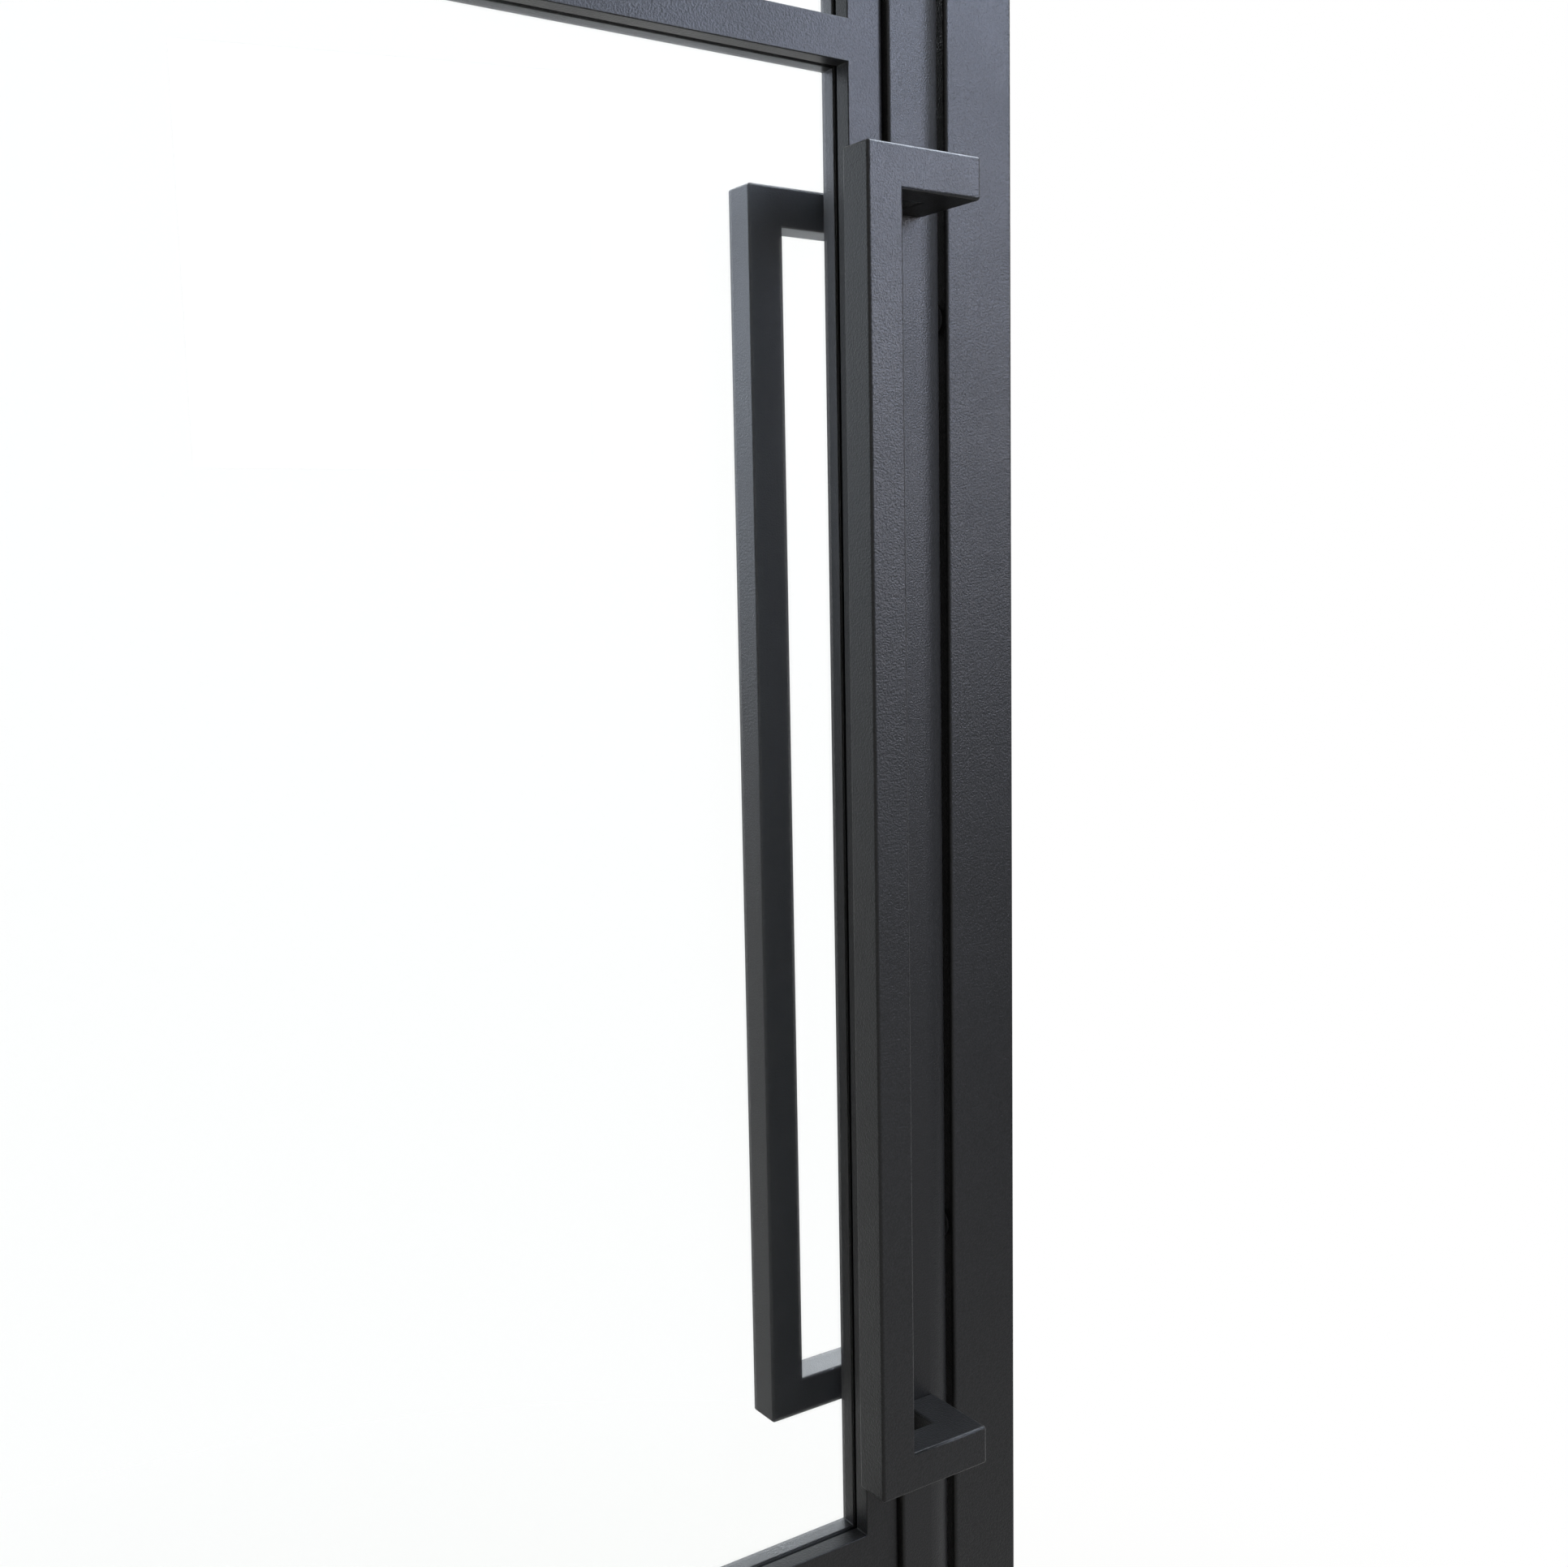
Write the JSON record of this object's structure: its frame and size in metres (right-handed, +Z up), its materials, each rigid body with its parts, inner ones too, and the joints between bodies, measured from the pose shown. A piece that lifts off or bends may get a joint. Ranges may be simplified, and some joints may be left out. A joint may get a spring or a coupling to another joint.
{
  "type": "interior door",
  "caption": "Black coated steel and glass interior door in its frame: a double-acting pivot leaf with slim glazing bars and a cranked square pull handle on each face.",
  "frame": {"origin": "on the finished floor, in the middle of the doorway and of the leaf's thickness", "axes": "+X across the doorway to the handle side, +Y through the leaf to its back, +Z up"},
  "size_m": [0.995, 0.1524, 2.096],
  "materials": {
    "frame_coating": "satin",
    "leaf_coating": "satin",
    "bar_coating": "satin",
    "handle_coating": "satin",
    "plain_steel": "zinc plated",
    "bush_bronze": "machined",
    "glazing_rubber": "matte",
    "black_plastic": "matte",
    "clear_glass": "clear"
  },
  "bodies": {
    "frame": {"jamb_pivot_side": "frame_coating", "jamb_handle_side": "frame_coating", "frame_head": "frame_coating", "corner_cleat_pivot_side": "plain_steel", "corner_cleat_handle_side": "plain_steel", "corner_cleat_screws": "plain_steel", "fixing_hole_plugs": "black_plastic", "floor_pivot_plate": "plain_steel", "floor_pivot_pin": "plain_steel", "top_pivot_bush": "bush_bronze", "top_pivot_plate": "plain_steel", "top_plate_screws": "plain_steel"},
    "leaf": {"stile_pivot_side": "leaf_coating", "stile_handle_side": "leaf_coating", "top_rail": "leaf_coating", "bottom_rail": "leaf_coating", "stile_end_caps": "leaf_coating", "bottom_pivot_block": "plain_steel", "bottom_pivot_bush": "bush_bronze", "bottom_block_screws": "plain_steel", "top_pivot_block": "plain_steel", "top_pivot_pin": "plain_steel", "top_block_screws": "plain_steel", "glass_pane": "clear_glass", "glass_edge_gasket": "glazing_rubber", "front_glazing_tape": "glazing_rubber", "back_glazing_tape": "glazing_rubber", "front_bar_pivot_side": "bar_coating", "front_bar_handle_side": "bar_coating", "front_bar_top": "bar_coating", "front_bar_bottom": "bar_coating", "front_muntin_upper": "bar_coating", "front_muntin_lower": "bar_coating", "back_bar_pivot_side": "bar_coating", "back_bar_handle_side": "bar_coating", "back_bar_top": "bar_coating", "back_bar_bottom": "bar_coating", "back_muntin_upper": "bar_coating", "back_muntin_lower": "bar_coating", "front_pull_handle": "handle_coating", "back_pull_handle": "handle_coating", "handle_studs": "plain_steel", "handle_foot_washers": "black_plastic"}
  },
  "joints": [
    {"name": "leaf_swing", "type": "hinge", "parent": "frame", "child": "leaf", "pos_m": [-0.34, 0, 0], "axis": [0, 0, 1], "range_deg": [-90, 90]}
  ]
}
